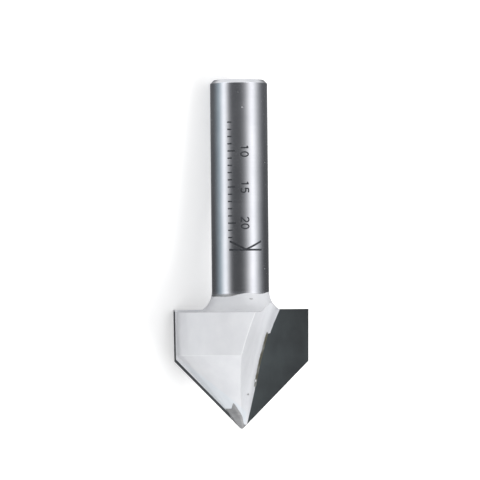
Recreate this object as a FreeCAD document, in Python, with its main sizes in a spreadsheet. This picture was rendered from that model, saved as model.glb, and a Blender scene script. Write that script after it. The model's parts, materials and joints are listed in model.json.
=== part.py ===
import FreeCAD, Part
import math
import os

import Sketcher

# V groove router bit: a steel body with two brazed carbide tips.
# The bit is built upright in its own frame, with the point at the origin, the shank along +Z
# and both cutting edges in the XZ plane. At the end every piece takes the resting placement,
# in which the bit lies on one lobe of its head and on the rim of its shank.

Vector = FreeCAD.Vector
Placement = FreeCAD.Placement
Rotation = FreeCAD.Rotation
UP = Vector(0, 0, 1)

# Driving dimensions, in millimetres and degrees
SIZES = [
    ("overall_length", 48.75, "point to shank end"),
    ("shank_diameter", 8.0, "plain shank"),
    ("shank_chamfer", 0.5, "45 degree chamfer at the shank end"),
    ("neck_radius", 3.0, "concave arc between shank and head"),
    ("neck_rise", 2.85, "from the top of the head to the start of the plain shank"),
    ("head_diameter", 18.0, "turned cylinder of the steel head"),
    ("cone_top", 10.5, "height where the turned cylinder meets the cone"),
    ("core_radius", 1.0, "radius where the cone meets the ground point"),
    ("cutting_diameter", 19.3, "across the cutting edges, at their top"),
    ("cutting_height", 16.8, "point to the top of the carbide tips"),
    ("tip_proud", 0.35, "how far the tips stand above the flat top of the steel head"),
    ("point_angle", 90.0, "included angle of the V"),
    ("side_taper", 0.6, "lean of the upright cutting edges towards the point"),
    ("tip_thickness", 1.5, "carbide plate"),
    ("braze_gap", 0.12, "layer of filler behind and beside a plate"),
    ("side_clearance", 22.2, "relief behind the upright cutting edge"),
    ("point_clearance", 23.5, "relief behind the sloping cutting edge"),
    ("flute_radius", 57.0, "radius of the disc that mills a flute"),
    ("flute_corner", 0.8, "rounded corner of that disc"),
    ("flute_core", 0.2, "from the axis to the rim of the disc, where it comes nearest"),
    ("flute_drop", 3.8, "centre of the disc below the point"),
    ("heel_turn", 66.2, "heel plane: turn about the axis, from the cutting edge"),
    ("heel_tilt", 42.0, "heel plane: tilt towards the point"),
    ("heel_offset", 0.1, "heel plane: distance from the point"),
]

doc = FreeCAD.newDocument("v_groove_router_bit")
sheet = doc.addObject("Spreadsheet::Sheet", "Sizes")
for row, (alias, amount, note) in enumerate(SIZES, start=1):
    sheet.set(f"A{row}", alias)
    sheet.set(f"B{row}", str(amount))
    sheet.set(f"C{row}", note)
    sheet.setAlias(f"B{row}", alias)
doc.recompute()


# A formula names the sheet's cells in braces

def bind(item, formulas):
    """Tie properties of an object to formulas."""
    for name, formula in formulas.items():
        item.setExpression(name, formula.replace("{", "Sizes.").replace("}", ""))


def value(formula):
    """The number that a formula gives now."""
    return float(sheet.evalExpression(formula.replace("{", "").replace("}", "")))


# Turned blank: shank, neck and head as one revolved profile

SHANK_RADIUS = "{shank_diameter} / 2"
HEAD_RADIUS = "{head_diameter} / 2"
HEAD_TOP = "({cutting_height} - {tip_proud})"
NECK_TOP = HEAD_TOP + " + {neck_rise}"
NECK_CENTRE = (SHANK_RADIUS + " + {neck_radius}", NECK_TOP)
NECK_FOOT = (NECK_CENTRE[0] + " - sqrt({neck_radius} ^ 2 - {neck_rise} ^ 2)", HEAD_TOP)
PROFILE = [
    ("0", "0"),
    ("{core_radius}", "{core_radius} / tan({point_angle} / 2)"),
    (HEAD_RADIUS, "{cone_top}"),
    (HEAD_RADIUS, HEAD_TOP),
    NECK_FOOT,
    (SHANK_RADIUS, NECK_TOP),
    (SHANK_RADIUS, "{overall_length} - {shank_chamfer}"),
    (SHANK_RADIUS + " - {shank_chamfer}", "{overall_length}"),
    ("0", "{overall_length}"),
]
NECK_SIDE = PROFILE.index(NECK_FOOT)

blank = doc.addObject("PartDesign::Body", "turned_blank")
profile = blank.newObject("Sketcher::SketchObject", "blank_profile")
plane = [f for f in blank.Origin.OriginFeatures if f.Role == "XZ_Plane"][0]
profile.AttachmentSupport = [(plane, "")]
profile.MapMode = "FlatFace"

corners = [Vector(value(across), value(up), 0) for across, up in PROFILE]
for side, start in enumerate(corners):
    end = corners[(side + 1) % len(corners)]
    if side == NECK_SIDE:
        centre = Vector(value(NECK_CENTRE[0]), value(NECK_CENTRE[1]), 0)
        circle = Part.Circle(centre, UP, value("{neck_radius}"))
        # A sketch's arc runs anticlockwise, so the neck is stored from the shank to the head
        profile.addGeometry(Part.ArcOfCircle(circle, circle.parameter(end), circle.parameter(start)))
    else:
        profile.addGeometry(Part.LineSegment(start, end))

# The sketcher counts a side's ends from 1, and its own axes downwards from -1, as ~ does
ENDS = ("whole", "start", "end")
START = ENDS.index("start")
END = ENDS.index("end")
OWN_AXES = ("level", "upright")
ORIGIN = (~OWN_AXES.index("level"), START)
UPRIGHT_AXIS = ~OWN_AXES.index("upright")
for side, (across, up) in enumerate(PROFILE):
    before = (side - 1) % len(PROFILE)
    here = (side, END if side == NECK_SIDE else START)
    there = (before, START if before == NECK_SIDE else END)
    profile.addConstraint(Sketcher.Constraint("Coincident", *there, *here))
    if side == 0:
        profile.addConstraint(Sketcher.Constraint("Coincident", *here, *ORIGIN))
        continue
    if across == "0":
        profile.addConstraint(Sketcher.Constraint("PointOnObject", *here, UPRIGHT_AXIS))
    else:
        index = profile.addConstraint(Sketcher.Constraint("DistanceX", *ORIGIN, *here, value(across)))
        profile.renameConstraint(index, f"across_{side}")
        bind(profile, {f"Constraints.across_{side}": across})
    index = profile.addConstraint(Sketcher.Constraint("DistanceY", *ORIGIN, *here, value(up)))
    profile.renameConstraint(index, f"up_{side}")
    bind(profile, {f"Constraints.up_{side}": up})
index = profile.addConstraint(Sketcher.Constraint("Radius", NECK_SIDE, value("{neck_radius}")))
profile.renameConstraint(index, "neck_radius")
bind(profile, {"Constraints.neck_radius": "{neck_radius}"})

turning = blank.newObject("PartDesign::Revolution", "turning")
turning.Profile = profile
turning.ReferenceAxis = (profile, ["V_Axis"])
turning.Angle = 360
doc.recompute()


# Cutters. A side is 0 for the right-hand cutting edge, at +X, or 180 for the left-hand one.
# Behind the right-hand edge the steel lies at +Y, and its flute is open towards -Y.

def combine(kind, name, base, tool):
    """A boolean of two objects."""
    result = doc.addObject(kind, name)
    result.Base = base
    result.Tool = tool
    return result


def disc(name, side, radius, thickness, facing):
    """A disc whose flat face lies in the XZ plane, about the axis of the flute's cutter.

    It reaches from that plane towards -Y where facing is 90, or +Y where facing is -90.
    """
    result = doc.addObject("Part::Cylinder", name)
    result.Placement = Placement(Vector(), Rotation(side, 0, facing))
    sign = "" if side == 0 else "-"
    bind(result, {
        "Radius": radius,
        "Height": thickness,
        "Placement.Base.x": sign + "({flute_core} + {flute_radius})",
        "Placement.Base.z": "-{flute_drop}",
    })
    return result


def slab(name, side, point, outward, along):
    """A thick square slab whose lower face passes through a point, square to a direction."""
    span = "4 * {cutting_diameter}"
    result = doc.addObject("Part::Box", name)
    bind(result, {"Length": span, "Width": span, "Height": "{cutting_diameter}"})
    turn = Rotation(along, outward.cross(along), outward, "ZXY")
    middle = turn.multVec(Vector(value(span), value(span), 0) * 0.5)
    result.Placement = Placement(Vector(), Rotation(side, 0, 0)) * Placement(point - middle, turn)
    return result


def relief(name, side, point, edge, clearance):
    """The slab that leaves the clearance behind a cutting edge, which runs up along edge."""
    across = Vector(edge.z, 0, -edge.x)
    lean = math.radians(clearance)
    outward = across * math.cos(lean) + Vector(0, 1, 0) * math.sin(lean)
    return slab(name, side, point, outward, edge)


half_point = math.radians(value("{point_angle} / 2"))
taper = math.radians(value("{side_taper}"))
point_edge = Vector(math.sin(half_point), 0, math.cos(half_point))
side_edge = Vector(math.sin(taper), 0, math.cos(taper))
top_corner = Vector(value("{cutting_diameter} / 2"), 0, value("{cutting_height}"))
heel_out = Rotation(value("{heel_turn}"), value("{heel_tilt}"), 0).multVec(Vector(1, 0, 0))


def flute(name, side):
    """The milling disc with its rounded corner at the rake plane."""
    wheel = disc(name + "_wheel", side, "{flute_radius}", "{cutting_diameter}", 90)
    doc.recompute()
    rims = [n for n, edge in enumerate(wheel.Shape.Edges, start=1)
            if edge.Closed and abs(edge.CenterOfMass.y) < value("{flute_corner}")]
    rounded = doc.addObject("Part::Fillet", name)
    rounded.Base = wheel
    corner = value("{flute_corner}")
    rounded.Edges = [(rim, corner, corner) for rim in rims]
    return rounded


SIDES = {"right": 0, "left": 180}
reliefs = {}
for hand, side in SIDES.items():
    cutters = [
        relief(f"side_relief_{hand}", side, top_corner, side_edge, value("{side_clearance}")),
        relief(f"point_relief_{hand}", side, Vector(), point_edge, value("{point_clearance}")),
        slab(f"heel_{hand}", side, heel_out * -value("{heel_offset}"), heel_out, UP),
    ]
    reliefs[hand] = doc.addObject("Part::MultiFuse", f"relief_{hand}")
    reliefs[hand].Shapes = cutters

relieved = blank
for hand in SIDES:
    relieved = combine("Part::Cut", f"relieved_{hand}", relieved, reliefs[hand])

body = relieved
pieces = {}
for hand, side in SIDES.items():
    body = combine("Part::Cut", f"fluted_{hand}", body, flute(f"flute_{hand}", side))
    seat = disc(f"seat_{hand}", side, "{flute_radius} - {flute_corner}", "{tip_thickness} + {braze_gap}", -90)
    body = combine("Part::Cut", f"seated_{hand}", body, seat)

    # Carbide plate: the disc's arc inside, the square top, and the relief planes outside
    plate = disc(f"plate_{hand}", side, "{flute_radius} - {flute_corner} - {braze_gap}", "{tip_thickness}", -90)
    stock = doc.addObject("Part::Box", f"plate_stock_{hand}")
    stock.Placement = Placement(Vector(), Rotation(side, 0, 0))
    bind(stock, {"Length": "{cutting_diameter}", "Width": "{tip_thickness}", "Height": "{cutting_height}"})
    shaped = combine("Part::Common", f"plate_blank_{hand}", stock, plate)
    pieces[f"carbide_tip_{hand}"] = combine("Part::Cut", f"tip_{hand}", shaped, reliefs[hand])

    # Braze filler: what the plate leaves empty in its seat
    bed = combine("Part::Common", f"seat_bed_{hand}", relieved, seat)
    pieces[f"braze_seam_{hand}"] = combine("Part::Cut", f"seam_{hand}", bed, plate)
pieces["bit_body"] = body
doc.recompute()


# Resting placement

SETTLING_ROUNDS = 40


def rest_placement(shapes):
    """How the bit comes to rest on its left-hand side, with the origin under its middle.

    It touches the floor with the top corner of the left tip, with the edge of the left flute
    at the top of the head, and with the lower rim of the shank's chamfer. Which point of that
    rim is lowest depends on the floor, so the floor through the three points is worked out in
    rounds.
    """
    climb = value("{flute_drop} + " + HEAD_TOP)
    wall = value("{flute_core} + {flute_radius}") - math.sqrt(value("{flute_radius}") ** 2 - climb ** 2)
    corner = Vector(-top_corner.x, 0, top_corner.z)
    heel = Vector(-wall, math.sqrt(value(HEAD_RADIUS) ** 2 - wall ** 2), value(HEAD_TOP))
    rim_height = value("{overall_length} - {shank_chamfer}")
    rim_radius = value(SHANK_RADIUS)
    rim = UP * rim_height
    for _ in range(SETTLING_ROUNDS):
        floor_normal = (heel - corner).cross(rim - corner).normalize()
        if floor_normal * corner > 0:
            floor_normal = -floor_normal
        downward = Vector(-floor_normal.x, -floor_normal.y, 0).normalize()
        rim = UP * rim_height + downward * rim_radius
    shank_way = UP - floor_normal * floor_normal.z
    turn = Rotation(shank_way.cross(floor_normal), shank_way, floor_normal, "ZYX").inverted()
    laid = Placement(Vector(), turn)
    box = FreeCAD.BoundBox()
    for shape in shapes:
        placed = shape.copy()
        placed.Placement = laid
        box.add(placed.optimalBoundingBox(False, False))
    return Placement(Vector(-box.Center.x, -box.Center.y, -box.ZMin), turn)


rest = rest_placement([piece.Shape for piece in pieces.values()])
for label, piece in pieces.items():
    piece.Label = label
    piece.Placement = rest
doc.recompute()

for item in doc.Objects:
    if "Invalid" in item.State or "Error" in item.State:
        raise RuntimeError(f"{item.Label} failed")
for label, piece in pieces.items():
    if piece.Shape.isNull() or not piece.Shape.isValid():
        raise RuntimeError(f"{label} has no valid shape")

os.makedirs("parts", exist_ok=True)
for label, piece in pieces.items():
    piece.Shape.exportStep(f"parts/{label}.step")
    print(label, "solids", len(piece.Shape.Solids), "volume", round(piece.Shape.Volume, 2),
          "lowest", round(piece.Shape.optimalBoundingBox(False, False).ZMin, 3))
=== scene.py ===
"""Looks of a V groove router bit: ground shank, painted head, ground carbide tips, braze and laser marks.

The bit lies on a pale floor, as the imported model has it. Lengths are in metres unless a name ends in
_mm, and the bit's own frame has the point at its origin, the shank along +Z, and the right-hand
cutting edge along +X with its steel at +Y.
"""

from __future__ import annotations

import json
import logging
import math
from dataclasses import dataclass, replace
from enum import Enum
from typing import Union

import bpy
import numpy as np
from mathutils import Matrix, Vector


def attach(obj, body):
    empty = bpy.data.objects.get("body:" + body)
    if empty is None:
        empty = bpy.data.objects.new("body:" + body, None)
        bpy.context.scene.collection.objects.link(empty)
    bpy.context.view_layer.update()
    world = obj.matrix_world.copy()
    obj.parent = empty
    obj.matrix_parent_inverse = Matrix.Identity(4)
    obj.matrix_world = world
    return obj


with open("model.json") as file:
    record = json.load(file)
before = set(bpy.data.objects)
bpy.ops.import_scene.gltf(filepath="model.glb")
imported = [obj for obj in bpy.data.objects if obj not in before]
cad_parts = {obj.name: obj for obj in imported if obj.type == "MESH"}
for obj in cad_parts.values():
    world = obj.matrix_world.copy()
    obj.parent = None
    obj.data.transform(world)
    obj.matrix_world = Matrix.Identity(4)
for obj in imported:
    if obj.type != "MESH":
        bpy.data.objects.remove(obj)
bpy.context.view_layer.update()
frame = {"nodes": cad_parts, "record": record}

MM = 0.001
PHOTO_SIDE = 480
SAME_WAY = 0.999  # cosine above which two faces point the same way
NOISE_MIDDLE = 0.5
SKIN_FADE = (0.0, 0.5)  # nearness over which a nick or chip comes up
LINE_POINTS, ARC_POINTS, RUN_POINTS = 12, 20, 6
log = logging.getLogger("router_bit")

Pair = tuple[float, float]
Triple = tuple[float, float, float]
Colour = Triple
Value = Union[float, "Sock"]
Array = np.ndarray
Shape = tuple[Array, Array]


class Hand(Enum):
    """The two cutting edges, with their half turns about the shank's axis in degrees."""

    RIGHT = 0.0
    LEFT = 180.0

    @property
    def word(self) -> str:
        """The word that node names use for this side."""
        return self.name.lower()

    @property
    def sign(self) -> float:
        """1 on the right-hand side and -1 on the left-hand one."""
        return math.cos(math.radians(self.value))


@dataclass(frozen=True)
class BitFrame:
    """The bit's own frame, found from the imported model.

    Attributes:
        origin: Where the two cutting edges would meet, in the row frame.
        across: Direction of the right-hand cutting edge's side, +X of the bit.
        behind: Direction from the right-hand rake face into the steel, +Y of the bit.
        along: Direction from the point to the shank's end, +Z of the bit.
    """

    origin: Array
    across: Array
    behind: Array
    along: Array

    @classmethod
    def found(cls, blunt_mm: float) -> BitFrame:
        """Find the frame from the shank mount's axis and the right-hand plate's flat faces.

        Args:
            blunt_mm: How far the ground point stands short of where the edges would meet.

        Returns:
            The frame that the part was modelled in.
        """
        mount = frame["record"]["mounts"][0]
        along = np.array(mount["axis"], float)
        along /= np.linalg.norm(along)
        centre = np.array(mount["pos_m"], float)
        body = mesh_points(frame["nodes"]["bit_body"])
        lowest = ((body - centre) @ along).min()
        plate = frame["nodes"]["carbide_tip_right"].data
        normals = np.array([face.normal[:] for face in plate.polygons])
        areas = np.array([face.area for face in plate.polygons])
        alike = np.abs(normals @ normals.T) > SAME_WAY
        flat = normals[np.argmax(alike @ areas)]
        middle = mesh_points(frame["nodes"]["carbide_tip_right"]).mean(0) - centre
        behind = flat - along * (flat @ along)
        behind *= math.copysign(1.0, behind @ middle) / np.linalg.norm(behind)
        origin = centre + along * (lowest - blunt_mm * MM)
        return cls(origin, np.cross(behind, along), behind, along)

    def to_row(self, points_mm: Array) -> Array:
        """Row frame places, in metres, of points given in the bit's frame in millimetres."""
        axes = np.stack([self.across, self.behind, self.along])
        return self.origin + MM * np.asarray(points_mm, float) @ axes

    def turned(self, direction: Array) -> Array:
        """A direction of the bit's frame, in the row frame."""
        return direction[0] * self.across + direction[1] * self.behind + direction[2] * self.along


def mesh_points(obj: bpy.types.Object) -> Array:
    """All vertices of a mesh object.

    Args:
        obj: The object.

    Returns:
        Their places, one row each.
    """
    points = np.empty(len(obj.data.vertices) * 3, np.float32)
    obj.data.vertices.foreach_get("co", points)
    return points.reshape(-1, 3).astype(float)


class Sock:
    """A node's output, with the operators that add Math nodes to its tree."""

    def __init__(self, board: NodeBoard, socket: bpy.types.NodeSocket) -> None:
        """Wrap one output socket of the board's tree."""
        self.board = board
        self.socket = socket

    def _math(self, operation: str, *values: Value) -> Sock:
        """The result of a Math node on these values, in this order."""
        return self.board.node("ShaderNodeMath", 0, {"operation": operation}, dict(enumerate(values)))

    def __add__(self, other: Value) -> Sock:
        """Sum."""
        return self._math("ADD", self, other)

    __radd__ = __add__

    def __sub__(self, other: Value) -> Sock:
        """Difference."""
        return self._math("SUBTRACT", self, other)

    def __rsub__(self, other: Value) -> Sock:
        """Difference, taken from a number."""
        return self._math("SUBTRACT", other, self)

    def __mul__(self, other: Value) -> Sock:
        """Product."""
        return self._math("MULTIPLY", self, other)

    __rmul__ = __mul__

    def __truediv__(self, other: Value) -> Sock:
        """Quotient."""
        return self._math("DIVIDE", self, other)

    def __rtruediv__(self, other: Value) -> Sock:
        """Quotient of a number."""
        return self._math("DIVIDE", other, self)

    def __pow__(self, other: Value) -> Sock:
        """Power."""
        return self._math("POWER", self, other)

    def __rpow__(self, other: Value) -> Sock:
        """Power of a number."""
        return self._math("POWER", other, self)

    def sine(self) -> Sock:
        """Sine of an angle in radians."""
        return self._math("SINE", self)

    def size(self) -> Sock:
        """Value without its sign."""
        return self._math("ABSOLUTE", self)

    def angle_from(self, other: Sock) -> Sock:
        """Angle in radians whose tangent is this value over another."""
        return self._math("ARCTAN2", self, other)

    def most(self, other: Value) -> Sock:
        """The larger of two values."""
        return self._math("MAXIMUM", self, other)

    def rise(self, low: Value, high: Value) -> Sock:
        """A smooth step from 0 at low to 1 at high, also where low lies above high."""
        settings = {"interpolation_type": "SMOOTHSTEP"}
        return self.board.node("ShaderNodeMapRange", 0, settings, {0: self, 1: low, 2: high, 3: 0.0, 4: 1.0})

    def above(self, edge: Value, soft: float) -> Sock:
        """A smooth step up to 1 past an edge, this far to each side of it."""
        return self.rise(edge - soft, edge + soft)

    def below(self, edge: Value, soft: float) -> Sock:
        """A smooth step down to 0 past an edge, this far to each side of it."""
        return self.rise(edge + soft, edge - soft)

    def nearing(self, edge: float, short: Pair) -> Sock:
        """A smooth step from 0 to 1 between two distances short of an edge."""
        return self.rise(edge - short[0], edge - short[1])

    def contrast(self, half: float) -> Sock:
        """Noise stretched to run from 0 to 1 within this much of its middle."""
        return self.above(NOISE_MIDDLE, half)

    def sway(self, reach: float) -> Sock:
        """Noise as a value about 0, this far from its least to its most."""
        return (self - NOISE_MIDDLE) * reach


def blend(mask: Value, under: Value, over: Value) -> Value:
    """Blend two values.

    Args:
        mask: 0 where the first one shows and 1 where the second one does.
        under: The first value.
        over: The second value.

    Returns:
        Under plus the mask times the difference, or the plain number where both are the same one.
    """
    if isinstance(under, float) and isinstance(over, float) and under == over:
        return under
    if isinstance(over, float):
        return under + (over - under) * mask
    return over * mask + under * (1 - mask)


@dataclass(frozen=True)
class Surface:
    """What changes over a finish: its colour, metal share, roughness, height and gloss coat."""

    colour: Sock
    metallic: Value
    roughness: Value
    height_mm: Value = 0.0
    coat: Value = 0.0

    def under(self, mask: Sock, over: Surface) -> Surface:
        """Both finishes as one, with the other one where the mask is 1."""
        return Surface(
            mask.board.mix(mask, self.colour, over.colour),
            blend(mask, self.metallic, over.metallic),
            blend(mask, self.roughness, over.roughness),
            blend(mask, self.height_mm, over.height_mm),
            blend(mask, self.coat, over.coat),
        )


class NodeBoard:
    """A node tree, emptied, with the one method that adds nodes to it."""

    def __init__(self, tree: bpy.types.NodeTree) -> None:
        """Take a tree and empty it."""
        self.tree = tree
        self.tree.nodes.clear()

    def node(self, kind: str, output: Union[int, str], settings: Union[dict, None] = None,
             inputs: Union[dict, None] = None) -> Sock:
        """Add a node.

        Args:
            kind: The node's type.
            output: The name or number of the output that is wanted.
            settings: Properties that are set first.
            inputs: Numbers, tuples or links, by the input's name or number.

        Returns:
            The wanted output.
        """
        made = self.tree.nodes.new(kind)
        for key, setting in (settings or {}).items():
            setattr(made, key, setting)
        for key, given in (inputs or {}).items():
            if isinstance(given, Sock):
                self.tree.links.new(given.socket, made.inputs[key])
            else:
                made.inputs[key].default_value = given
        return Sock(self, made.outputs[output])

    def close(self, kind: str, shader: Sock) -> None:
        """Link a shader to a new output node of this type."""
        output = self.tree.nodes.new(kind)
        self.tree.links.new(shader.socket, output.inputs["Surface"])

    def colour(self, colour: Colour) -> Sock:
        """A plain colour as a socket."""
        return self.node("ShaderNodeCombineColor", "Color", None, dict(enumerate(colour)))

    def mix(self, mask: Value, under: Union[Sock, Colour], over: Union[Sock, Colour]) -> Sock:
        """Colour that goes from under to over as the mask goes from 0 to 1."""
        ends = [given if isinstance(given, Sock) else (*given, 1.0) for given in (under, over)]
        return self.node("ShaderNodeMix", 2, {"data_type": "RGBA"}, {0: mask, 6: ends[0], 7: ends[1]})


def fresh_material(name: str) -> bpy.types.Material:
    """Make a material with a node tree.

    Args:
        name: The material's name.

    Returns:
        The new material.
    """
    material = bpy.data.materials.new(name)
    material.use_nodes = True
    return material


class Bench(NodeBoard):
    """A finish's material, and the coordinates of the bit in it, in millimetres.

    Attributes:
        frayed: The height along the axis with a small uneven shift, for a paint's edge.
        edges: Both cutting edges.
    """

    FRAY_GRAIN_MM = (0.5, 0.5, 0.5)
    FRAY_MM = 0.12
    BEVEL_SAMPLES = 6

    def __init__(self, name: str, bit: BitFrame) -> None:
        """Start an empty material.

        Args:
            name: The material's name.
            bit: The frame that places are given in.
        """
        self.material = fresh_material(name)
        super().__init__(self.material.node_tree)
        place = self.node("ShaderNodeTexCoord", "Object")
        axes = (bit.across, bit.behind, bit.along)
        self.x, self.y, self.z = (self._measured(place, bit.origin, axis) for axis in axes)
        self.radius = (self.x**2.0 + self.y**2.0) ** 0.5
        self.angle = self.y.angle_from(self.x)
        self.frayed = self.z + self.noise(self.FRAY_GRAIN_MM).sway(self.FRAY_MM)
        self.edges = [self.edge(hand) for hand in Hand]

    def _measured(self, place: Sock, origin: Array, axis: Array) -> Sock:
        """Measure places along one axis.

        Args:
            place: A place in the row frame.
            origin: Where the axis starts.
            axis: Its direction.

        Returns:
            The place's dot product with the axis, less the origin's, in millimetres.
        """
        settings = {"operation": "DOT_PRODUCT"}
        reach = self.node("ShaderNodeVectorMath", "Value", settings, {0: place, 1: tuple(axis / MM)})
        return reach - float(origin @ axis) / MM

    def edge(self, hand: Hand) -> Edge:
        """One cutting edge in this material."""
        return Edge(self, hand.sign, self.x * hand.sign, self.y * hand.sign)

    def noise(self, grain_mm: Triple, detail: float = 2.0, wrapped: bool = False) -> Sock:
        """Smooth noise about 0.5.

        Args:
            grain_mm: Size of a grain along the bit's three axes, or, wrapped, along the radius, round the
                girth at the shank's radius and along the axis.
            detail: How many finer layers it has.
            wrapped: Whether the pattern wraps round the axis.

        Returns:
            A value from 0 to 1.
        """
        places = (self.x, self.y, self.z)
        if wrapped:
            places = (self.radius, self.angle * ShankForm.radius_mm, self.z)
        parts = {n: place / grain for n, (place, grain) in enumerate(zip(places, grain_mm))}
        where = self.node("ShaderNodeCombineXYZ", 0, None, parts)
        return self.node("ShaderNodeTexNoise", 0, None, {"Vector": where, "Scale": 1.0, "Detail": detail})

    def near(self, centre_mm: Triple, half_mm: Triple) -> Sock:
        """Nearness to the middle of an ellipsoid.

        Args:
            centre_mm: Its middle.
            half_mm: Its three half axes.

        Returns:
            1 less the squares of the distances over the half axes: 0 at its skin, and less outside.
        """
        axes = zip((self.x, self.y, self.z), centre_mm, half_mm)
        squares = [((place - centre) / half) ** 2.0 for place, centre, half in axes]
        return 1 - (squares[0] + squares[1] + squares[2])

    def rounded(self, edge_mm: float) -> Sock:
        """Normal that turns smoothly from face to face within this distance of an edge."""
        return self.node("ShaderNodeBevel", 0, {"samples": self.BEVEL_SAMPLES}, {"Radius": edge_mm * MM})

    def finish(self, surface: Surface, edge_mm: float = 0.0, **plain: float) -> bpy.types.Material:
        """Close the material with its shader.

        Args:
            surface: What changes over the finish.
            edge_mm: Radius by which edges are softened for the light, or 0 for sharp ones.
            plain: Values that are the same all over, by input name with spaces as underscores.

        Returns:
            The finished material.
        """
        inputs: dict = {"Base Color": surface.colour, "Metallic": surface.metallic}
        inputs["Roughness"] = surface.roughness
        inputs["Coat Weight"] = surface.coat
        bump: dict = {"Strength": 1.0, "Distance": MM, "Height": surface.height_mm}
        if edge_mm:
            bump["Normal"] = self.rounded(edge_mm)
        if isinstance(surface.height_mm, Sock) or edge_mm:
            inputs["Normal"] = self.node("ShaderNodeBump", 0, None, bump)
        inputs.update({name.replace("_", " "): amount for name, amount in plain.items()})
        self.close("ShaderNodeOutputMaterial", self.node("ShaderNodeBsdfPrincipled", 0, None, inputs))
        return self.material


@dataclass(frozen=True)
class ShankForm:
    """Sizes of the plain shank."""

    radius_mm: float = 4.0
    end_mm: float = 48.75
    plain_from_mm: float = 19.3


@dataclass(frozen=True)
class Edge:
    """One cutting edge in a material: its flute's milling disc, plate, relief and ground heel, and its
    painted shade and highlight.

    Turns and tilts are in degrees. A pair is where a smooth step starts and where it ends.

    Attributes:
        sign: 1 on the right-hand side and -1 on the left-hand one.
        side: Distance from the axis towards the edge's side, in millimetres.
        depth: Distance behind its rake face, in millimetres.
    """

    bench: Bench
    sign: float
    side: Sock
    depth: Sock
    disc_radius_mm: float = 57.0
    corner_mm: float = 0.8
    core_mm: float = 0.2
    drop_mm: float = 3.8
    braze_gap_mm: float = 0.12
    plate_mm: float = 1.5
    top_mm: float = 16.8
    head_radius_mm: float = 9.0
    cone_top_mm: float = 10.5
    relief_across: float = 0.766
    relief_back: float = 0.25
    relief_foot_mm: float = 3.008
    relief_soft_mm: float = 0.12
    relief_from_mm: Pair = (0.2, 0.4)
    relief_top_mm: Pair = (10.6, 10.3)
    rim_mm: Pair = (0.12, 0.05)
    rim_short_mm: Pair = (0.14, 0.07)
    rim_front_mm: Pair = (-0.5, -0.6)
    rim_foot_mm: Pair = (0.0, -0.3)
    corner_rim_mm: Pair = (0.09, 0.03)
    # strength of the painted highlight on the head's corner, against the full one on the flute's wall
    corner_share: float = 0.3
    heel_turn: float = 64.9
    heel_tilt: float = 44.1
    heel_reach_mm: float = 0.37
    heel_soft_mm: float = 0.025
    heel_line_mm: float = 3.03
    heel_line_soft_mm: float = 0.04
    heel_step_mm: float = 0.85
    heel_step_side_mm: Pair = (0.98, 0.34)

    def inset(self) -> Sock:
        """Distance into a plate from its inner edge, which is an arc about the milling disc's axis.

        Returns:
            The arc's radius less the distance from the disc's axis, below 0 outside the plate.
        """
        across = self.core_mm + self.disc_radius_mm
        reach = ((self.side - across) ** 2.0 + (self.bench.z + self.drop_mm) ** 2.0) ** 0.5
        return self.disc_radius_mm - self.corner_mm - self.braze_gap_mm - reach

    def relief(self) -> Sock:
        """Find the ground relief behind one cutting edge, on the cone, which gets a painted shade.

        Returns:
            Mask of what lies under a slanted plane, behind the edge and below the cone's top.
        """
        height = self.bench.z
        plane = self.side * self.relief_across + self.depth * self.relief_back + self.relief_foot_mm
        under = (height - plane).below(0.0, self.relief_soft_mm)
        return under * self.depth.rise(*self.relief_from_mm) * height.rise(*self.relief_top_mm)

    def crease(self) -> Sock:
        """Find the thin rims that get a painted highlight, as if they caught the light.

        Returns:
            Mask of where the flute's wall meets the head's side, and, fainter, of the head's corner.
        """
        height = self.bench.z
        wall = (self.inset() + (self.corner_mm + self.braze_gap_mm)).size().rise(*self.rim_mm)
        front = self.depth.rise(*self.rim_front_mm) * height.nearing(self.cone_top_mm, self.rim_foot_mm)
        corner = (height - self.cone_top_mm).size().rise(*self.corner_rim_mm) * self.corner_share
        return (wall * front).most(corner) * self.bench.radius.nearing(self.head_radius_mm, self.rim_short_mm)

    def heel(self) -> Sock:
        """Find one ground heel at the point.

        Returns:
            Mask of what lies outside a slanted plane, and below a paint line with a step up in it.
        """
        turn, tilt = math.radians(self.heel_turn), math.radians(self.heel_tilt)
        across, back = math.cos(tilt) * math.cos(turn), math.cos(tilt) * math.sin(turn)
        depth = self.bench.z * math.sin(tilt) - self.side * across - self.depth * back
        outside = depth.below(self.heel_reach_mm, self.heel_soft_mm)
        line = self.side.rise(*self.heel_step_side_mm) * self.heel_step_mm + self.heel_line_mm
        return outside * (self.bench.frayed - line).below(0.0, self.heel_line_soft_mm)


@dataclass(frozen=True)
class Grain:
    """One noise of a finish, and what it changes.

    Attributes:
        size_mm: Size of its grain, and detail and wrapped, as the bench's noise takes them.
        share: Its part in the blend from the dark shade to the light one.
        half: How far from its middle it is stretched for that, or 0 to take it as it is.
        sheen: How much the roughness moves with it.
        depth_mm: How high its relief is.
    """

    size_mm: Triple
    detail: float = 2.0
    wrapped: bool = False
    share: float = 0.0
    half: float = 0.0
    sheen: float = 0.0
    depth_mm: float = 0.0


@dataclass(frozen=True)
class Finish:
    """A finish: a dark and a light shade that its grains blend, with their sheen and relief."""

    dark: Colour
    light: Colour
    metallic: float
    roughness: float
    grains: tuple[Grain, ...]
    coat: float = 0.0
    base_mm: float = 0.0

    def drift(self, bench: Bench) -> Value:
        """The part of the blend that follows the bit's form: none on most finishes."""
        return 0.0

    def surface(self, bench: Bench) -> Surface:
        """Make the finish.

        Args:
            bench: The material that it belongs to.

        Returns:
            What changes over it, each a sum over the grains.
        """
        shade, roughness, height_mm = self.drift(bench), self.roughness, self.base_mm
        for grain in self.grains:
            noise = bench.noise(grain.size_mm, grain.detail, grain.wrapped)
            if grain.share:
                shade = (noise.contrast(grain.half) if grain.half else noise) * grain.share + shade
            if grain.sheen:
                roughness = noise.sway(grain.sheen) + roughness
            if grain.depth_mm:
                height_mm = noise * grain.depth_mm + height_mm
        colour = bench.mix(shade, self.dark, self.light)
        return Surface(colour, self.metallic, roughness, height_mm, self.coat)


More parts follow.
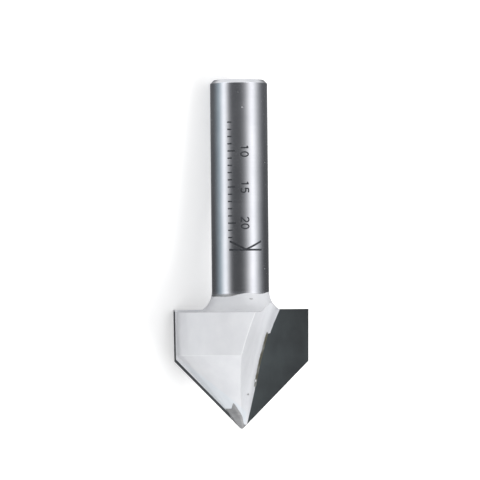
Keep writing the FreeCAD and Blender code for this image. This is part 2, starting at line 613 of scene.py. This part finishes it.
@dataclass(frozen=True)
class GroundSteel(Finish):
    """Centreless-ground steel: fine lines round the girth, and a faint uneven sheen."""

    dark: Colour = (0.66, 0.675, 0.71)
    light: Colour = (0.80, 0.81, 0.84)
    metallic: float = 1.0
    roughness: float = 0.165
    grains: tuple[Grain, ...] = (
        Grain((4.0, 9.0, 0.11), 3.0, wrapped=True, share=0.45, sheen=0.05, depth_mm=0.0012),
        Grain((3.0, 2.2, 3.4), 3.0, wrapped=True, share=0.55, half=0.25, sheen=0.06),
    )


@dataclass(frozen=True)
class TipGrind(Finish):
    """Bare steel where the point was ground: duller, with straight scratches, and lighter at the point."""

    dark: Colour = (0.325, 0.325, 0.33)
    light: Colour = (0.575, 0.57, 0.575)
    metallic: float = 0.85
    roughness: float = 0.42
    grains: tuple[Grain, ...] = (
        Grain((0.9, 0.9, 0.05), share=0.35, half=0.2, depth_mm=0.003),
        Grain((0.8, 0.8, 0.8), 3.0, share=0.3, half=0.2),
    )
    point_mm: Pair = (2.6, 0.8)
    point_share: float = 0.4

    def drift(self, bench: Bench) -> Value:
        """Lighter towards the point."""
        return bench.z.rise(*self.point_mm) * self.point_share


@dataclass(frozen=True)
class HeadPaint(Finish):
    """Pale grey baked paint: a faint mottle, a fine orange peel and a soft gloss."""

    dark: Colour = (0.685, 0.695, 0.725)
    light: Colour = (0.745, 0.755, 0.78)
    metallic: float = 0.0
    roughness: float = 0.36
    grains: tuple[Grain, ...] = (
        Grain((1.9, 1.9, 2.6), 3.0, share=1.0, half=0.3, sheen=0.12),
        Grain((0.35, 0.35, 0.35), depth_mm=0.006),
    )
    coat: float = 0.12
    base_mm: float = 0.027
    coat_roughness: float = 0.1


@dataclass(frozen=True)
class GroundCarbide(Finish):
    """Ground sintered carbide: dark, with fine parallel grinding lines and a cloudy sheen."""

    dark: Colour = (0.050, 0.054, 0.058)
    light: Colour = (0.088, 0.104, 0.108)
    metallic: float = 0.35
    roughness: float = 0.36
    grains: tuple[Grain, ...] = (
        Grain((2.6, 2.6, 3.8), 4.0, share=0.4, half=0.2, sheen=0.12),
        Grain((0.07, 0.07, 3.0), share=0.2, depth_mm=0.0015),
        Grain((0.12, 0.12, 0.12), 1.0, depth_mm=0.001),
    )
    inner_mm: Pair = (9.0, 3.0)
    inner_share: float = 0.4

    def drift(self, bench: Bench) -> Value:
        """Lighter towards the bit's axis."""
        return bench.radius.rise(*self.inner_mm) * self.inner_share


@dataclass(frozen=True)
class BrazeFiller(Finish):
    """Dull braze filler: olive brown, with burnt dark flux in places."""

    dark: Colour = (0.17, 0.162, 0.125)
    light: Colour = (0.34, 0.345, 0.325)
    metallic: float = 0.6
    roughness: float = 0.5
    grains: tuple[Grain, ...] = (Grain((0.8, 0.8, 1.6), share=1.0, half=0.12, depth_mm=0.02),)


@dataclass(frozen=True)
class LaserMark(Finish):
    """Laser-marked steel: a dark oxide with a slight grain."""

    dark: Colour = (0.03, 0.032, 0.038)
    light: Colour = (0.075, 0.08, 0.09)
    metallic: float = 0.4
    roughness: float = 0.45
    grains: tuple[Grain, ...] = (Grain((0.14, 0.14, 0.14), share=1.0, half=0.2),)


@dataclass(frozen=True)
class Chip:
    """A small dark chip in the paint, in the bit's frame."""

    centre_mm: Triple
    half_mm: Triple


@dataclass(frozen=True)
class Nick:
    """A tiny nick in the shank: its turn about the axis in degrees, its height and its strength."""

    turn: float
    height_mm: float
    share: float

    def place(self) -> Triple:
        """Its middle, on the shank's skin."""
        angle, radius = math.radians(self.turn), ShankForm.radius_mm
        return (radius * math.cos(angle), radius * math.sin(angle), self.height_mm)


@dataclass(frozen=True)
class Seat:
    """What runs along a plate's inner edge, on the steel and the seam: bare filler, and carbide grind."""

    edge: Edge
    bare_low_mm: float = 5.9
    bare_high_mm: float = 13.35
    bare_fade_mm: float = 0.3
    filler_mm: float = 0.21
    filler_soft_mm: float = 0.05
    filler_lap_mm: Pair = (0.14, 0.08)
    filler_front_mm: Pair = (-0.45, -0.35)
    wander_grain_mm: Triple = (0.35, 0.35, 0.6)
    wander_along_mm: float = 0.6
    wander_across_mm: float = 0.14
    back_mm: Pair = (0.5, 0.4)
    flush_top_mm: float = 5.5
    flush_top_soft_mm: float = 0.1
    flush_front_mm: Pair = (-0.7, -0.6)
    flush_start_mm: float = 1.0
    flush_foot_mm: float = 0.83
    flush_slope: float = 0.235
    flush_soft_mm: float = 0.03
    drop_mm: Triple = (2.05, 0.0, 6.85)
    drop_half_mm: Triple = (0.13, 0.5, 0.2)
    drop_ring: Pair = (-1.1, -0.8)
    drop_paint: Pair = (0.1, 0.3)

    def filler(self) -> Sock:
        """Find the stretch where the paint stops short of the plate.

        Returns:
            Mask of the braze filler that shows there, and round the drop of paint at its foot.
        """
        edge = self.edge
        wander = edge.bench.noise(self.wander_grain_mm, detail=3.0)
        level = edge.bench.z + wander.sway(self.wander_along_mm)
        stretch = level.rise(self.bare_high_mm + self.bare_fade_mm, self.bare_high_mm)
        stretch = stretch * level.rise(self.bare_low_mm, self.bare_low_mm + self.bare_fade_mm)
        inset = edge.inset()
        beside = inset.above(wander.sway(self.wander_across_mm) - self.filler_mm, self.filler_soft_mm)
        shallow = edge.depth.rise(*self.filler_front_mm) * edge.depth.rise(*self.back_mm)
        line = stretch * beside * inset.rise(*self.filler_lap_mm) * shallow
        return line.most(self.near_drop().rise(*self.drop_ring))

    def near_drop(self) -> Sock:
        """Nearness to the small drop of paint at the foot of the filler: above 0 in it."""
        middle = (self.drop_mm[0] * self.edge.sign, *self.drop_mm[1:])
        return self.edge.bench.near(middle, self.drop_half_mm)

    def flush(self) -> Sock:
        """Find the flute's corner that was ground with the lowest part of the plate.

        Returns:
            Mask of what lies beyond a slanted line, near the rake face and below the grind's top.
        """
        edge, height = self.edge, self.edge.bench.z
        line = (height - self.flush_start_mm) * self.flush_slope + self.flush_foot_mm
        beside = (edge.side - line).above(0.0, self.flush_soft_mm)
        shallow = edge.depth.rise(*self.flush_front_mm) * edge.depth.rise(*self.back_mm)
        return beside * shallow * height.below(self.flush_top_mm, self.flush_top_soft_mm)

    def layers(self, surface: Surface) -> Surface:
        """Lay the filler, the drop of paint and the carbide grind over a finish.

        Args:
            surface: The finish under them.

        Returns:
            All as one.
        """
        bench = self.edge.bench
        surface = surface.under(self.filler(), BrazeFiller().surface(bench))
        surface = surface.under(self.near_drop().rise(*self.drop_paint), HeadPaint().surface(bench))
        return surface.under(self.flush(), GroundCarbide().surface(bench))


@dataclass(frozen=True)
class SteelBody:
    """The turned and milled steel piece, painted from the neck down to the ground point.

    Attributes:
        line_waves: Waves of the paint line: how many go round, their swing in millimetres and phase.
        head_short_mm: How far short of the plain shank the ground point's steel takes over.
        edge_mm: Radius by which its edges are softened for the light.
    """

    bit: BitFrame
    paint_line_mm: float = 18.88
    line_waves: tuple[Triple, ...] = (
        (1, 0.253, 1.05),
        (2, 0.056, 2.39),
        (3, 0.032, -1.01),
        (4, 0.041, 0.42),
        (5, 0.032, 1.26),
        (6, 0.052, 2.23),
    )
    line_soft_mm: float = 0.035
    bare_tip_mm: float = 0.75
    tip_soft_mm: float = 0.05
    head_short_mm: Pair = (0.2, 0.5)
    edge_mm: float = 0.12
    # painted shade: a cooler tint laid on the relief behind each cutting edge, and how much of it
    relief_colour: Colour = (0.66, 0.745, 0.805)
    relief_share: float = 0.35
    # painted highlight colour on the crease rims; the shank's nicks take this colour too
    rim_colour: Colour = (0.86, 0.87, 0.89)
    nick_half_mm: Triple = (0.10, 0.10, 0.10)
    nick_roughness: float = 0.7
    nicks: tuple[Nick, ...] = (
        Nick(-79.1, 46.93, 0.22),
        Nick(-70.8, 44.79, 0.9),
        Nick(-26.2, 45.6, 0.2),
        Nick(-15.5, 37.2, 0.7),
        Nick(-19.5, 22.4, 0.7),
        Nick(64.0, 31.0, 0.8),
        Nick(148.0, 40.2, 0.8),
    )
    chips: tuple[Chip, ...] = (
        Chip((2.24, -3.50, 18.24), (0.36, 0.30, 0.11)),
        Chip((1.05, -0.35, 4.95), (0.16, 0.22, 0.14)),
    )
    rag_grain_mm: Triple = (0.14, 0.14, 0.14)
    rag: float = 2.6

    def steel(self, bench: Bench) -> Surface:
        """Make the bare shank's finish.

        Args:
            bench: The material that it belongs to.

        Returns:
            Ground steel, with a few tiny nicks that scatter the light.
        """
        nicked: Value = 0.0
        for nick in self.nicks:
            mark = bench.near(nick.place(), self.nick_half_mm).rise(*SKIN_FADE) * nick.share
            nicked = mark.most(nicked)
        scuff = Surface(bench.colour(self.rim_colour), 1.0, self.nick_roughness)
        return GroundSteel().surface(bench).under(nicked, scuff)

    def painted(self, bench: Bench) -> Sock:
        """Find where the paint lies.

        Args:
            bench: The material that it belongs to.

        Returns:
            Mask of what lies below a wavy line on the neck, above the bare heels and off the chips.
        """
        line: Value = self.paint_line_mm
        for count, swing, phase in self.line_waves:
            line = (bench.angle * float(count) + phase).sine() * swing + line
        bare = bench.frayed.below(self.bare_tip_mm, self.tip_soft_mm)
        for edge in bench.edges:
            bare = bare.most(edge.heel())
        rag = bench.noise(self.rag_grain_mm).sway(self.rag)
        for chip in self.chips:
            bare = bare.most((bench.near(chip.centre_mm, chip.half_mm) + rag).rise(*SKIN_FADE))
        return bench.frayed.below(line, self.line_soft_mm) * (1 - bare)

    def paint(self, bench: Bench) -> Surface:
        """Make the paint.

        Args:
            bench: The material that it belongs to.

        Returns:
            Paint with a cooler painted shade on the relief behind each edge, and a painted highlight on the
            creases.
        """
        paint = HeadPaint().surface(bench)
        colour = paint.colour
        for edge in bench.edges:
            # painted shade on the relief behind the edge
            colour = bench.mix(edge.relief() * self.relief_share, colour, self.relief_colour)
            # painted highlight along the crease rims
            colour = bench.mix(edge.crease(), colour, self.rim_colour)
        return replace(paint, colour=colour)

    def dress(self) -> None:
        """Give the steel node its layered finish."""
        bench = Bench("steel_and_paint", self.bit)
        head = bench.z.nearing(ShankForm.plain_from_mm, self.head_short_mm)
        surface = self.steel(bench).under(head, TipGrind().surface(bench))
        surface = surface.under(self.painted(bench), self.paint(bench))
        for edge in bench.edges:
            surface = Seat(edge).layers(surface)
        dressed("bit_body", bench.finish(surface, self.edge_mm, Coat_Roughness=HeadPaint.coat_roughness))


@dataclass(frozen=True)
class CuttingTip:
    """One brazed carbide plate with its seam, and the paint that laps over the plate.

    A pair that ends in short_mm is a smooth step between two distances short of an edge.
    """

    bit: BitFrame
    hand: Hand
    edge_mm: float = 0.03
    lap_mm: float = 0.34
    lap_growth_mm: float = 0.20
    lap_end_mm: float = 17.2
    lap_start_mm: Pair = (-0.02, -0.12)
    lap_back_mm: float = 0.02
    lap_soft_mm: float = 0.03
    wander_grain_mm: Triple = (0.5, 0.5, 0.7)
    wander_mm: float = 0.12
    back_short_mm: Pair = (0.04, 0.01)
    top_short_mm: Pair = (0.03, 0.01)
    top_side_mm: Pair = (9.4, 8.9)
    rim_short_mm: Pair = (0.24, 0.18)
    rim_depth_mm: Pair = (0.12, 0.2)

    def covered(self, edge: Edge) -> Sock:
        """Find the paint on the plate.

        Args:
            edge: The plate's cutting edge.

        Returns:
            Mask of its back, its top and its upper rim, and of a lap over its inner edge near the neck.
        """
        height, start, high = edge.bench.z, Seat.bare_high_mm, edge.top_mm
        wander = edge.bench.noise(self.wander_grain_mm, detail=3.0).sway(self.wander_mm)
        width = height.rise(start, self.lap_end_mm) * self.lap_growth_mm + wander + self.lap_mm
        reach = height.nearing(start, self.lap_start_mm) * width - self.lap_back_mm
        paint = edge.inset().below(reach, self.lap_soft_mm)
        paint = paint.most(edge.depth.nearing(edge.plate_mm, self.back_short_mm))
        paint = paint.most(height.nearing(high, self.top_short_mm) * edge.side.rise(*self.top_side_mm))
        paint = paint.most(height.nearing(high, self.rim_short_mm) * edge.depth.rise(*self.rim_depth_mm))
        return paint * (1 - edge.heel())

    def dress(self) -> None:
        """Give the plate and its seam their finishes, with the paint that runs over their edge."""
        coat = HeadPaint.coat_roughness
        bench = Bench(f"carbide_{self.hand.word}", self.bit)
        edge = bench.edge(self.hand)
        surface = GroundCarbide().surface(bench).under(Seat(edge).filler(), BrazeFiller().surface(bench))
        surface = surface.under(self.covered(edge), HeadPaint().surface(bench))
        dressed(f"carbide_tip_{self.hand.word}", bench.finish(surface, self.edge_mm, Coat_Roughness=coat))
        bench = Bench(f"braze_{self.hand.word}", self.bit)
        edge = bench.edge(self.hand)
        surface = HeadPaint().surface(bench).under(edge.heel(), TipGrind().surface(bench))
        surface = Seat(edge).layers(surface)
        dressed(f"braze_seam_{self.hand.word}", bench.finish(surface, Coat_Roughness=coat))


@dataclass(frozen=True)
class ShankMarks:
    """Plain laser marks on the shank: a depth line with its chevron, and a millimetre scale.

    A mark is drawn on the unrolled shank, with the turn from the photographed side in degrees and the
    height along the axis in millimetres. The scale counts millimetres from the shank's end.
    """

    bit: BitFrame
    view_turn: float
    shank: ShankForm = ShankForm()
    line_mm: float = 25.05
    line_ends: Pair = (-22.0, 48.0)
    chevron_mm: float = 1.2
    chevron_turn: float = 12.0
    chevron_inset: float = 1.0
    chevron_gap_mm: float = 0.05
    stroke_mm: float = 0.27
    fine_mm: float = 0.19
    proud_mm: float = 0.012
    scale_mm: range = range(6, 23)
    scale_turn: float = -24.0
    long_every_mm: int = 5
    long_reach: float = 16.0
    short_reach: float = 9.0
    numbered_mm: tuple[int, ...] = (10, 15, 20)
    number_turn: float = 2.5
    digit_mm: float = 1.15
    digit_start: float = 0.72
    digit_step: float = 0.82

    def ribbon(self, turns: Array, heights: Array, width_mm: float) -> Shape:
        """A closed thin ribbon on the shank along a line.

        At each point of the line the section is a flat rectangle, width wide and as deep as the mark
        stands proud of and sunk in the steel; the corners lie at radius plus or minus that depth.

        Args:
            turns: Turn of each point of the line, in degrees from the photographed side.
            heights: Height of each point, in millimetres.
            width_mm: Width of the ribbon.

        Returns:
            Points in the row frame and quads that index them.
        """
        girth = np.radians(turns) * self.shank.radius_mm
        line = np.stack([girth, heights], 1)
        way = np.gradient(line, axis=0)
        way /= np.linalg.norm(way, axis=1, keepdims=True)
        side = np.stack([-way[:, 1], way[:, 0]], 1) * width_mm / 2
        edges = np.stack([line + side, line - side], 1)
        radii = self.shank.radius_mm + self.proud_mm * np.array([1.0, -1.0])
        flat = np.concatenate([edges, edges[:, ::-1]], 1)
        deep = np.repeat(radii, 2)
        turn = flat[..., 0] / self.shank.radius_mm + math.radians(self.view_turn - 90)
        points = np.stack([deep * np.cos(turn), deep * np.sin(turn), flat[..., 1]], -1)
        count = len(line)
        rows, cols = np.meshgrid(np.arange(count - 1), np.arange(4), indexing="ij")
        after = (cols + 1) % 4
        quads = np.stack([rows * 4 + cols, rows * 4 + after, rows * 4 + 4 + after, rows * 4 + 4 + cols], -1)
        caps = np.array([[3, 2, 1, 0], [count * 4 - 4, count * 4 - 3, count * 4 - 2, count * 4 - 1]])
        return self.bit.to_row(points.reshape(-1, 3)), np.concatenate([quads.reshape(-1, 4), caps])

    def straight(self, start: Pair, end: Pair, width_mm: float) -> Shape:
        """A straight ribbon: its turn and height are the start's plus a share of the way to the end's.

        Args:
            start: Turn in degrees and height in millimetres where it starts.
            end: The same where it ends.
            width_mm: Width of the ribbon.

        Returns:
            Points in the row frame and quads that index them.
        """
        share = np.linspace(0, 1, LINE_POINTS)
        turns = start[0] + (end[0] - start[0]) * share
        heights = start[1] + (end[1] - start[1]) * share
        return self.ribbon(turns, heights, width_mm)

    def digit(self, strokes: list[Array], start_mm: float) -> list[Shape]:
        """Ribbons of one figure that reads towards the head, with its top to the right.

        Args:
            strokes: Points of each stroke, across and up the figure, where 1 is the figure's height.
            start_mm: Height along the axis at which it starts.

        Returns:
            A ribbon for each stroke.
        """
        ribbons = []
        for stroke in strokes:
            turns = self.number_turn + np.degrees(stroke[:, 1] * self.digit_mm / self.shank.radius_mm)
            ribbons.append(self.ribbon(turns, start_mm - stroke[:, 0] * self.digit_mm, self.fine_mm))
        return ribbons

    def depth_line(self) -> list[Shape]:
        """Make the line that marks how deep a collet takes the shank.

        Returns:
            Ribbons of the line and of the chevron that points at it.
        """
        low, high = self.line_ends
        foot = self.line_mm + self.chevron_mm
        tip = (self.chevron_turn, self.line_mm + self.chevron_gap_mm)
        return [
            self.straight((low, self.line_mm), (high, self.line_mm), self.stroke_mm),
            self.straight((low + self.chevron_inset, foot), tip, self.stroke_mm),
            self.straight((high - self.chevron_inset, foot), tip, self.stroke_mm),
        ]

    def scale(self) -> list[Shape]:
        """Make the millimetre scale.

        Returns:
            Ribbons of its strokes, of which each fifth is long, and of its figures.
        """
        shapes = []
        for depth in self.scale_mm:
            height = self.shank.end_mm - depth
            reach = self.short_reach if depth % self.long_every_mm else self.long_reach
            end = (self.scale_turn + reach, height)
            shapes.append(self.straight((self.scale_turn, height), end, self.fine_mm))
        for depth in self.numbered_mm:
            start = self.shank.end_mm - depth + self.digit_start * self.digit_mm
            for place, figure in enumerate(str(depth)):
                shapes += self.digit(FIGURES[figure], start - place * self.digit_step * self.digit_mm)
        return shapes

    def build(self) -> bpy.types.Object:
        """Make the piece that holds all marks."""
        return piece("shank_marks", self.depth_line() + self.scale())


def arc(across: float, up: float, wide: float, tall: float, start: float, end: float) -> Array:
    """Points of an arc: its centre plus its half axes times the cosine and sine of angles in degrees."""
    angle = np.radians(np.linspace(start, end, ARC_POINTS))
    return np.stack([across + wide * np.cos(angle), up + tall * np.sin(angle)], 1)


def joined(*corners: Pair) -> Array:
    """Points of a bent line through these corners, with a few evenly along each run."""
    runs = [np.linspace(a, b, RUN_POINTS)[:-1] for a, b in zip(corners, corners[1:])]
    return np.concatenate([*runs, [corners[-1]]])


BOW = arc(0.3, 0.69, 0.27, 0.27, 165, -35)
FIGURES = {
    "0": [arc(0.3, 0.5, 0.27, 0.46, 0, 360)],
    "1": [joined((0.12, 0.78), (0.34, 0.96)), joined((0.34, 0.98), (0.34, 0.04))],
    "2": [BOW, joined(tuple(BOW[-1]), (0.03, 0.06)), joined((0.0, 0.04), (0.6, 0.04))],
    "5": [
        joined((0.56, 0.96), (0.1, 0.96)),
        joined((0.1, 0.98), (0.06, 0.52)),
        arc(0.28, 0.33, 0.29, 0.29, 140, -140),
    ],
}


def dressed(name: str, material: bpy.types.Material) -> None:
    """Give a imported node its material.

    Args:
        name: The node's name.
        material: What its slots take.
    """
    for slot in frame["nodes"][name].material_slots:
        slot.material = material
    log.info("%s takes %s", name, material.name)


def piece(name: str, shapes: list[Shape]) -> bpy.types.Object:
    """Make one mesh object from several closed shapes.

    Args:
        name: The object's name.
        shapes: Points in the row frame and quads of each shape.

    Returns:
        The new object, at the origin, with its place in its mesh.
    """
    starts = np.cumsum([0] + [len(points) for points, _ in shapes])
    points = np.concatenate([points for points, _ in shapes])
    quads = np.concatenate([quads + start for (_, quads), start in zip(shapes, starts)])
    mesh = bpy.data.meshes.new(name)
    mesh.from_pydata(points.tolist(), [], quads.tolist())
    mesh.update()
    obj = bpy.data.objects.new(name, mesh)
    bpy.context.scene.collection.objects.link(obj)
    log.info("%s has %d faces", name, len(quads))
    return obj


@dataclass(frozen=True)
class PhotoCamera:
    """The photograph's camera, in the bit's frame.

    Attributes:
        turn: Turn of the camera about the bit's axis, from straight in front of the right rake face.
        distance_mm: From the bit's axis.
        level_mm: Height along the axis at which the camera stands.
        aim_mm: Height along the axis that the middle of the picture shows.
        roll: Lean of the picture's upright, to the left, in degrees.
        pixels_per_mm: Scale of the picture at the axis.
    """

    bit: BitFrame
    turn: float = 12.5
    distance_mm: float = 500.0
    level_mm: float = 17.6
    aim_mm: float = 26.47
    roll: float = 0.535
    pixels_per_mm: float = 7.17
    sensor_mm: float = 36.0

    def build(self) -> None:
        """Make the camera and give it to the scene."""
        turn, roll = math.radians(self.turn), math.radians(self.roll)
        out = np.array([math.sin(turn), -math.cos(turn), 0.0])
        right = np.array([math.cos(turn), math.sin(turn), 0.0])
        place = Vector(self.bit.to_row(out * self.distance_mm + [0, 0, self.level_mm]))
        target = Vector(self.bit.to_row(np.array([0, 0, self.aim_mm])))
        upright = self.bit.turned(np.array([0, 0, math.cos(roll)]) + right * math.sin(roll))
        back = (place - target).normalized()
        side = Vector(upright).cross(back).normalized()
        up = back.cross(side)
        data = bpy.data.cameras.new("photo_camera")
        data.sensor_width = self.sensor_mm
        reach_mm = (place - target).length / MM
        data.lens = self.sensor_mm * self.pixels_per_mm * reach_mm / PHOTO_SIDE
        obj = bpy.data.objects.new("photo_camera", data)
        bpy.context.scene.collection.objects.link(obj)
        obj.matrix_world = Matrix.Translation(place) @ Matrix((side, up, back)).transposed().to_4x4()
        bpy.context.scene.camera = obj
        log.info("camera lens is %.1f mm", data.lens)


@dataclass(frozen=True)
class Strip:
    """A bright strip of the reflector: its turn from the camera, half width, strength and tint."""

    turn: float
    half: float
    strength: float
    tint: Colour


@dataclass(frozen=True)
class Softbox:
    """A soft square lamp that looks at the bit: its name, place and side in metres, and power in watts."""

    name: str
    place: Triple
    side: float
    power: float

    def build(self) -> None:
        """Hang the lamp."""
        data = bpy.data.lights.new(self.name, "AREA")
        data.shape = "RECTANGLE"
        data.size = data.size_y = self.side
        data.energy = self.power
        obj = bpy.data.objects.new(self.name, data)
        bpy.context.scene.collection.objects.link(obj)
        obj.location = self.place
        obj.rotation_euler = Vector(self.place).to_track_quat("Z", "Y").to_euler()
        obj.visible_camera = obj.visible_glossy = False


@dataclass(frozen=True)
class Reflector:
    """A tube of cards round the bit, dark with bright strips, that only gloss sees.

    Attributes:
        camera_turn: Turn of the camera about the bit's axis, from which the strips' turns count.
        half: Half its length along the axis.
        end_fade: Distances from the middle between which the ends get lighter, and end_light by how much.
        base: Colour of the dark cards on the shank's side.
        shade_span: Distances from the middle between which the cards darken towards the head.
        shade_share: How much of the base the darkening takes.
    """

    bit: BitFrame
    camera_turn: float
    radius: float = 0.30
    half: float = 0.9
    corners: int = 73
    end_fade: Pair = (0.12, 0.34)
    end_light: float = 0.42
    base: Colour = (0.145, 0.147, 0.153)
    shade_span: Pair = (0.08, -0.05)
    shade_share: float = 0.6
    strips: tuple[Strip, ...] = (
        Strip(-60.0, 14.0, 1.0, (1.0, 0.99, 1.0)),
        Strip(-82.0, 19.0, 0.34, (0.72, 0.90, 1.0)),
        Strip(25.0, 13.0, 0.10, (1.0, 1.0, 1.0)),
        Strip(51.0, 17.0, 1.05, (1.0, 0.99, 1.0)),
        Strip(73.0, 20.0, 0.36, (0.95, 0.97, 1.0)),
        Strip(172.0, 13.0, 0.2, (1.0, 1.0, 1.0)),
        Strip(-172.0, 13.0, 0.2, (0.94, 0.97, 1.0)),
    )

    def build(self) -> None:
        """Make the tube.

        Its points are the middle of the bit plus a radius times the cosine and sine of a turn from the
        camera's side, at two heights along the axis.
        """
        turns = np.radians(np.linspace(-180, 180, self.corners))
        look = math.radians(self.camera_turn)
        out = self.bit.turned(np.array([math.sin(look), -math.cos(look), 0.0]))
        right = self.bit.turned(np.array([math.cos(look), math.sin(look), 0.0]))
        ring = np.cos(turns)[:, None] * out + np.sin(turns)[:, None] * right
        middle = self.bit.to_row(np.array([0, 0, ShankForm.end_mm / 2]))
        ends = np.array([-1.0, 1.0]) * self.half
        points = middle + ring[:, None] * self.radius + ends[None, :, None] * self.bit.along
        rows = np.arange(self.corners - 1)
        quads = np.stack([rows * 2, rows * 2 + 1, rows * 2 + 3, rows * 2 + 2], 1)
        obj = piece("reflector", [(points.reshape(-1, 3), quads)])
        obj.visible_camera = obj.visible_diffuse = obj.visible_shadow = False
        shares = np.repeat(np.linspace(0, 1, self.corners), 2)
        layer = obj.data.uv_layers.new(name="turn")
        corners = np.empty(len(obj.data.loops), np.int32)
        obj.data.loops.foreach_get("vertex_index", corners)
        ways = np.tile(ends, self.corners)
        layer.data.foreach_set("uv", np.stack([shares[corners], ways[corners]], 1).ravel())
        obj.data.materials.append(self.cards())

    def cards(self) -> bpy.types.Material:
        """Light the cards.

        The light is a base that darkens towards the head, plus a lift at both ends, plus each strip's
        tint times 2 to the power of minus the square of the turn from its middle over its half width.

        Returns:
            The tube's material.
        """
        material = fresh_material("reflector_cards")
        board = NodeBoard(material.node_tree)
        place = board.node("ShaderNodeUVMap", 0, {"uv_map": "turn"})
        turn = board.node("ShaderNodeSeparateXYZ", "X", None, {0: place}) * 360.0 - 180.0
        along = board.node("ShaderNodeSeparateXYZ", "Y", None, {0: place})
        lift = (along.size().rise(*self.end_fade) + along.rise(*self.end_fade)) * self.end_light
        light = board.node("ShaderNodeCombineXYZ", 0, None, dict.fromkeys(range(3), lift))
        glows = [(self.base, 1 - along.rise(*self.shade_span) * self.shade_share)]
        for strip in self.strips:
            bell = 2.0 ** (((turn - strip.turn) / strip.half) ** 2.0 * -1.0)
            glows.append((strip.tint, bell * strip.strength))
        for tint, strength in glows:
            glow = board.node("ShaderNodeVectorMath", 0, {"operation": "SCALE"}, {0: tint, "Scale": strength})
            light = board.node("ShaderNodeVectorMath", 0, {"operation": "ADD"}, {0: light, 1: glow})
        board.close("ShaderNodeOutputMaterial", board.node("ShaderNodeEmission", 0, None, {"Color": light}))
        material.cycles.emission_sampling = "NONE"
        return material


@dataclass(frozen=True)
class Studio:
    """Pale floor, soft lamps and a plain world."""

    floor_side: float = 3.0
    floor_colour: Colour = (0.86, 0.86, 0.86)
    floor_lift: float = 0.36
    world_diffuse: float = 0.76
    lamps: tuple[Softbox, ...] = (
        Softbox("left_softbox", (-0.599, -0.173, 0.217), 0.4, 0.6),
        Softbox("right_softbox", (0.29, -0.163, 0.57), 0.5, 2.4),
    )

    def build(self) -> None:
        """Make everything round the bit."""
        self.floor()
        self.world()
        for lamp in self.lamps:
            lamp.build()

    def floor(self) -> None:
        """A pale floor that shows white to the camera and keeps the bit's shadow."""
        half = self.floor_side / 2
        corners = np.array([[-half, -half, 0], [half, -half, 0], [half, half, 0], [-half, half, 0]])
        obj = piece("floor", [(corners, np.array([[0, 1, 2, 3]]))])
        obj.visible_glossy = False
        material = fresh_material("pale_floor")
        board = NodeBoard(material.node_tree)
        pale = board.node("ShaderNodeBsdfDiffuse", 0, None, {"Color": (*self.floor_colour, 1.0)})
        seen = board.node("ShaderNodeLightPath", "Is Camera Ray")
        lift = board.node("ShaderNodeEmission", 0, None, {"Strength": seen * self.floor_lift})
        both = board.node("ShaderNodeAddShader", 0, None, {0: pale, 1: lift})
        board.close("ShaderNodeOutputMaterial", both)
        obj.data.materials.append(material)

    def world(self) -> None:
        """White to the camera and to gloss, and softer as a lamp."""
        world = bpy.data.worlds.new("studio_world")
        bpy.context.scene.world = world
        world.use_nodes = True
        board = NodeBoard(world.node_tree)
        seen = board.node("ShaderNodeLightPath", "Is Camera Ray")
        for ray in ("Is Glossy Ray", "Is Transmission Ray"):
            seen = seen.most(board.node("ShaderNodeLightPath", ray))
        strength = board.node("ShaderNodeMapRange", 0, None, {"Value": seen, "To Min": self.world_diffuse})
        white = {"Color": (1.0, 1.0, 1.0, 1.0), "Strength": strength}
        board.close("ShaderNodeOutputWorld", board.node("ShaderNodeBackground", 0, None, white))


def main() -> None:
    """Build and dress every piece."""
    logging.basicConfig(level=logging.INFO, format="%(name)s: %(message)s")
    bpy.context.scene.view_settings.view_transform = "Standard"
    bit = BitFrame.found(blunt_mm=0.15)
    camera = PhotoCamera(bit)
    camera.build()
    Studio().build()
    Reflector(bit, camera.turn).build()
    SteelBody(bit).dress()
    for hand in Hand:
        CuttingTip(bit, hand).dress()
    marks = ShankMarks(bit, camera.turn).build()
    bench = Bench("laser_mark", bit)
    marks.data.materials.append(bench.finish(LaserMark().surface(bench)))
    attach(marks, "root")


if __name__ == "__main__":
    main()
